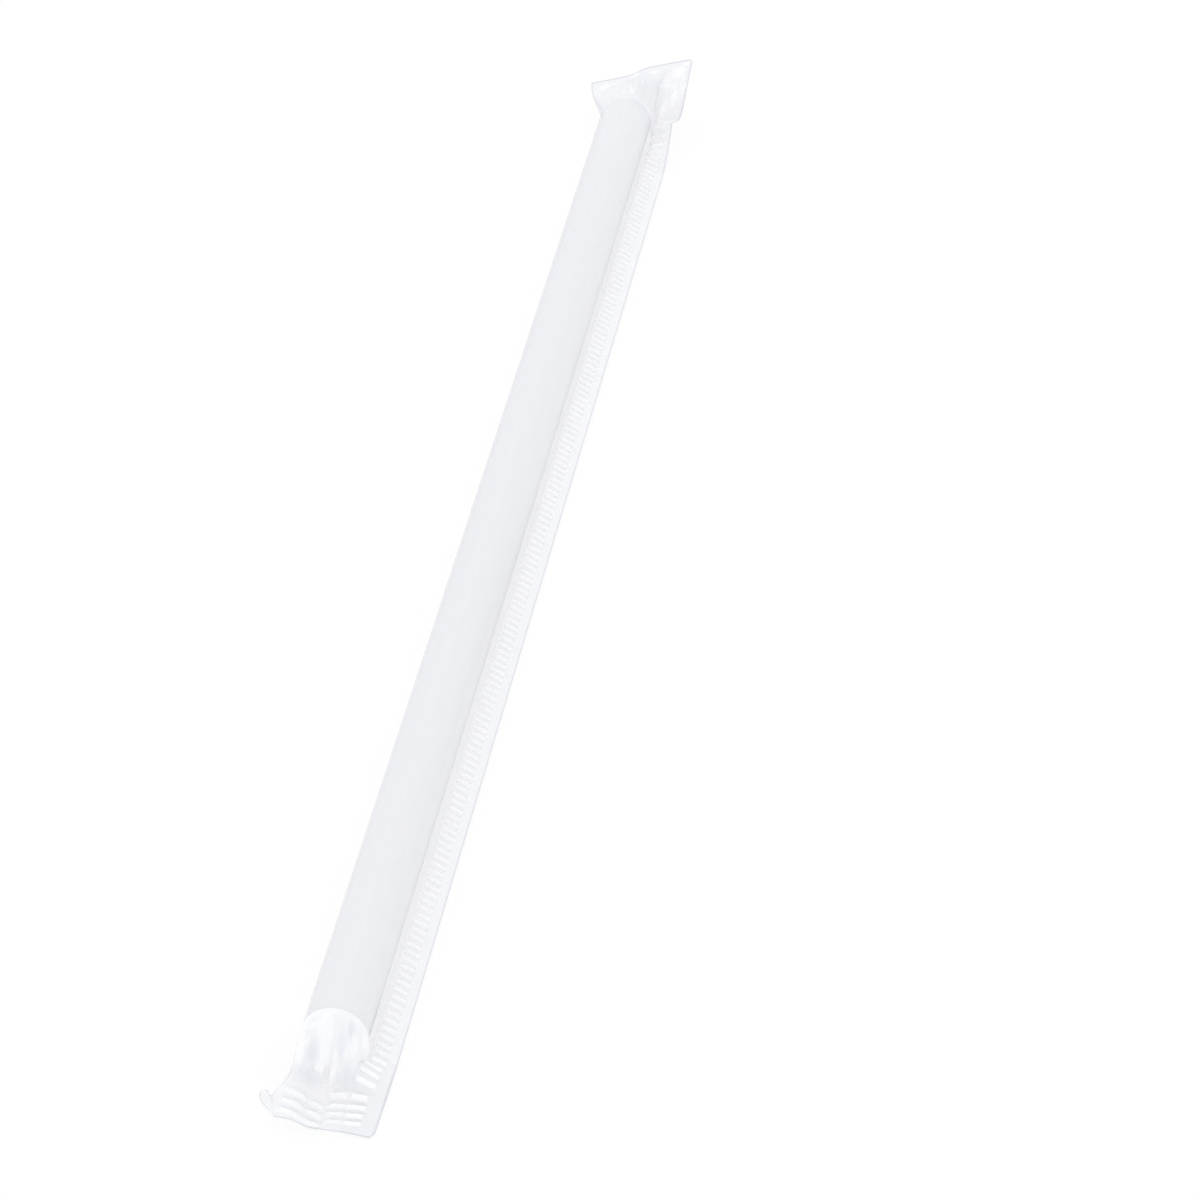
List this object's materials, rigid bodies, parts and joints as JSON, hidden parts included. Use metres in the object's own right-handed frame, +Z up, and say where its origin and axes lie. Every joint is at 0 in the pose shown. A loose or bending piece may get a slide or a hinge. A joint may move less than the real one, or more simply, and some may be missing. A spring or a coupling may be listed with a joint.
{
  "type": "wrapped drinking straw",
  "caption": "Straight translucent drinking straw sealed in a clear film wrapper with a ribbed side seal and crimped, slightly bent end flaps.",
  "frame": {"origin": "centre of the part's outline on the surface it lies on, which is z = 0", "axes": "+X along the straw, from the flap that lies low to the flap that is bent up; the ribbed side seal is on the -Y side; +Z up"},
  "size_m": [0.2188, 0.0128, 0.0072],
  "materials": {
    "straw": "milky translucent polypropylene, satin",
    "film": "clear glossy polypropylene film"
  },
  "bodies": {
    "root": {"straw": "straw", "wrapper": "film"}
  },
  "joints": []
}
